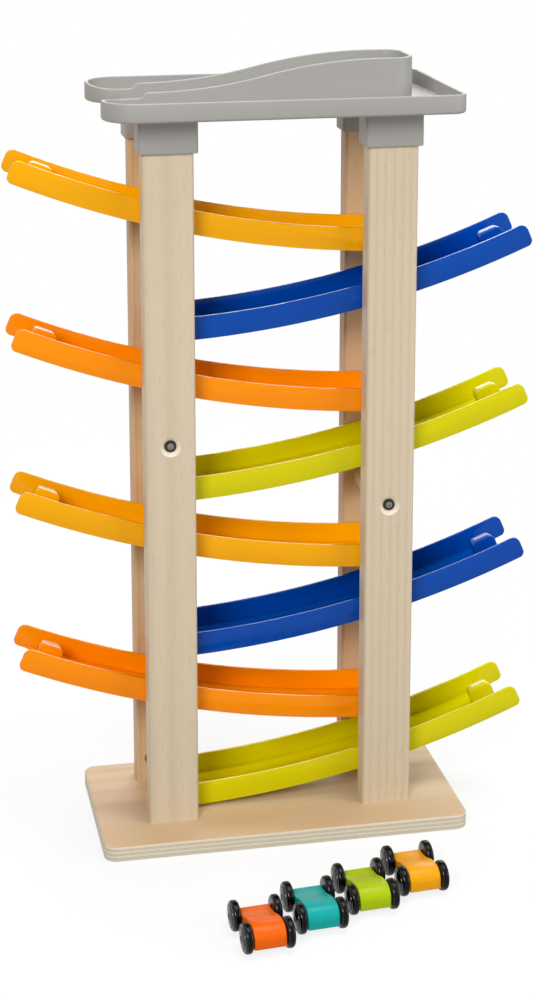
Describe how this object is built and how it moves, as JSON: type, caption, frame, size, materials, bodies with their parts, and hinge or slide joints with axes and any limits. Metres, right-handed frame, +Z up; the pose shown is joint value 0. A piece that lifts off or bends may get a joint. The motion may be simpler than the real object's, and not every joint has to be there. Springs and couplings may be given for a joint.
{
  "type": "toy car ramp",
  "caption": "Tabletop wooden toy tower with curved plastic tracks that slope left and right in turn, a launch tray on top and small roller cars beside it.",
  "frame": {"origin": "centre of the base board's underside", "axes": "+Z up, +X to the right along the tracks, +Y to the back, with the cars in front at -Y"},
  "size_m": [0.3354, 0.2624, 0.5045],
  "materials": {
    "plywood": "clear satin lacquer, pale plies on the edge",
    "beech": "clear satin lacquer",
    "amber_track": "glossy moulded plastic",
    "blue_track": "glossy moulded plastic",
    "orange_track": "glossy moulded plastic",
    "lime_track": "glossy moulded plastic",
    "grey_tray": "satin moulded plastic",
    "black_steel": "black oxide",
    "steel": "zinc plated",
    "black_wheel": "glossy black plastic",
    "orange_paint": "painted, satin",
    "teal_paint": "painted, satin",
    "lime_paint": "painted, satin",
    "amber_paint": "painted, satin"
  },
  "bodies": {
    "tower": {"base_board": "plywood", "post_front_left": "beech", "post_front_right": "beech", "post_back_left": "beech", "post_back_right": "beech", "track_1": "amber_track", "track_2": "blue_track", "track_3": "orange_track", "track_4": "lime_track", "track_5": "amber_track", "track_6": "blue_track", "track_7": "orange_track", "track_8": "lime_track", "top_tray": "grey_tray", "spacer_dowel_left": "beech", "spacer_dowel_right": "beech", "cross_bolt_left": "black_steel", "cross_bolt_right": "black_steel", "sleeve_nut_left": "steel", "sleeve_nut_right": "steel", "base_screws_front_left": "steel", "base_screws_front_right": "steel", "base_screws_back_left": "steel", "base_screws_back_right": "steel", "car_orange_body": "orange_paint", "car_teal_body": "teal_paint", "car_lime_body": "lime_paint", "car_amber_body": "amber_paint"},
    "car_orange_tail_wheels": {"car_orange_tail_axle": "steel", "car_orange_tail_left_wheel": "black_wheel", "car_orange_tail_right_wheel": "black_wheel"},
    "car_orange_nose_wheels": {"car_orange_nose_axle": "steel", "car_orange_nose_left_wheel": "black_wheel", "car_orange_nose_right_wheel": "black_wheel"},
    "car_teal_tail_wheels": {"car_teal_tail_axle": "steel", "car_teal_tail_left_wheel": "black_wheel", "car_teal_tail_right_wheel": "black_wheel"},
    "car_teal_nose_wheels": {"car_teal_nose_axle": "steel", "car_teal_nose_left_wheel": "black_wheel", "car_teal_nose_right_wheel": "black_wheel"},
    "car_lime_tail_wheels": {"car_lime_tail_axle": "steel", "car_lime_tail_left_wheel": "black_wheel", "car_lime_tail_right_wheel": "black_wheel"},
    "car_lime_nose_wheels": {"car_lime_nose_axle": "steel", "car_lime_nose_left_wheel": "black_wheel", "car_lime_nose_right_wheel": "black_wheel"},
    "car_amber_tail_wheels": {"car_amber_tail_axle": "steel", "car_amber_tail_left_wheel": "black_wheel", "car_amber_tail_right_wheel": "black_wheel"},
    "car_amber_nose_wheels": {"car_amber_nose_axle": "steel", "car_amber_nose_left_wheel": "black_wheel", "car_amber_nose_right_wheel": "black_wheel"}
  },
  "joints": [
    {"name": "car_orange_tail_roll", "type": "hinge", "parent": "tower", "child": "car_orange_tail_wheels", "pos_m": [-0.03932, -0.18195, 0.00925], "axis": [0.9962, 0.0872, 0], "continuous": true},
    {"name": "car_orange_nose_roll", "type": "hinge", "parent": "tower", "child": "car_orange_nose_wheels", "pos_m": [-0.04168, -0.15505, 0.00925], "axis": [0.9962, 0.0872, 0], "continuous": true},
    {"name": "car_teal_tail_roll", "type": "hinge", "parent": "tower", "child": "car_teal_tail_wheels", "pos_m": [-0.00362, -0.16605, 0.00925], "axis": [0.9962, 0.0872, 0], "continuous": true},
    {"name": "car_teal_nose_roll", "type": "hinge", "parent": "tower", "child": "car_teal_nose_wheels", "pos_m": [-0.00598, -0.13915, 0.00925], "axis": [0.9962, 0.0872, 0], "continuous": true},
    {"name": "car_lime_tail_roll", "type": "hinge", "parent": "tower", "child": "car_lime_tail_wheels", "pos_m": [0.03208, -0.15015, 0.00925], "axis": [0.9962, 0.0872, 0], "continuous": true},
    {"name": "car_lime_nose_roll", "type": "hinge", "parent": "tower", "child": "car_lime_nose_wheels", "pos_m": [0.02972, -0.12325, 0.00925], "axis": [0.9962, 0.0872, 0], "continuous": true},
    {"name": "car_amber_tail_roll", "type": "hinge", "parent": "tower", "child": "car_amber_tail_wheels", "pos_m": [0.06778, -0.13425, 0.00925], "axis": [0.9962, 0.0872, 0], "continuous": true},
    {"name": "car_amber_nose_roll", "type": "hinge", "parent": "tower", "child": "car_amber_nose_wheels", "pos_m": [0.06542, -0.10735, 0.00925], "axis": [0.9962, 0.0872, 0], "continuous": true}
  ]
}
